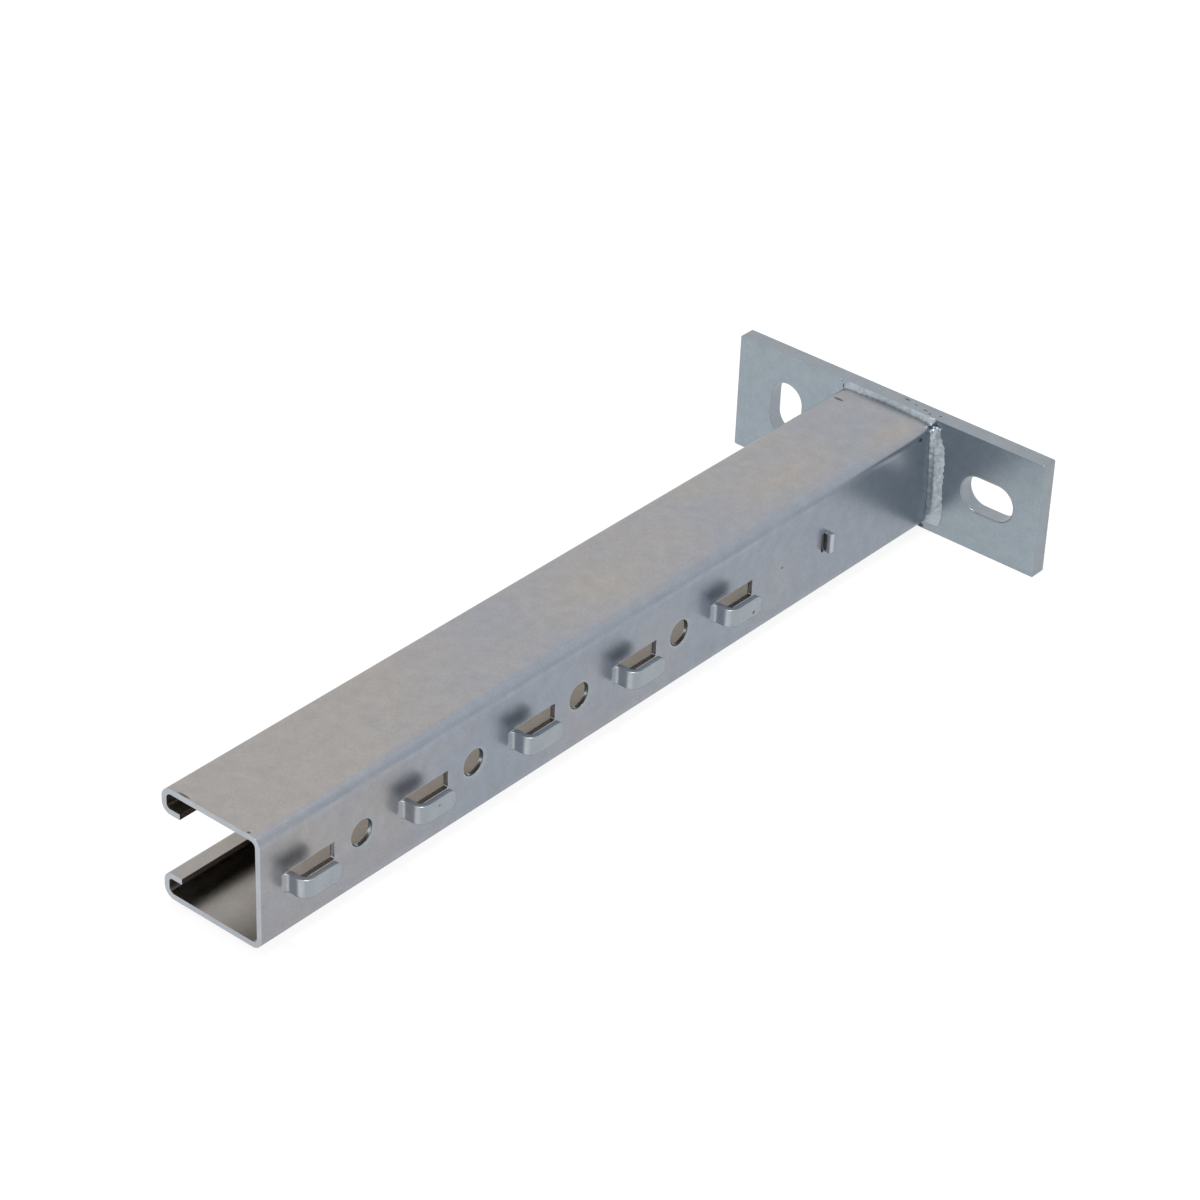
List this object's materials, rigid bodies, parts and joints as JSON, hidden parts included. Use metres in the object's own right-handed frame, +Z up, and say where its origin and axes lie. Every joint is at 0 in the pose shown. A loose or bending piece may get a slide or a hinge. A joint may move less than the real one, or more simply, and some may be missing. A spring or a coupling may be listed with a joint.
{
  "type": "cantilever strut arm",
  "caption": "Lipped square steel channel welded on end to a flat slotted wall plate, with hooked lugs and round holes along its web for carrying a cable tray.",
  "frame": {"origin": "middle of the wall plate's back face, which is the plane y = 0", "axes": "+Y into the wall, the arm running out along -Y; +X along the plate's long side, to the web and its lugs; +Z up as the part lies in the picture, on a long edge of the plate and the arm's far end. In use the wall plate's long side is upright and the lugs face up (+X is then up)"},
  "size_m": [0.133, 0.338, 0.0454],
  "materials": {
    "zinc_plated_steel": "satin",
    "weld_bead": "satin"
  },
  "bodies": {
    "root": {"channel_arm": "zinc_plated_steel", "base_plate": "zinc_plated_steel", "weld_bead_top": "weld_bead", "weld_bead_web": "weld_bead"}
  },
  "joints": []
}
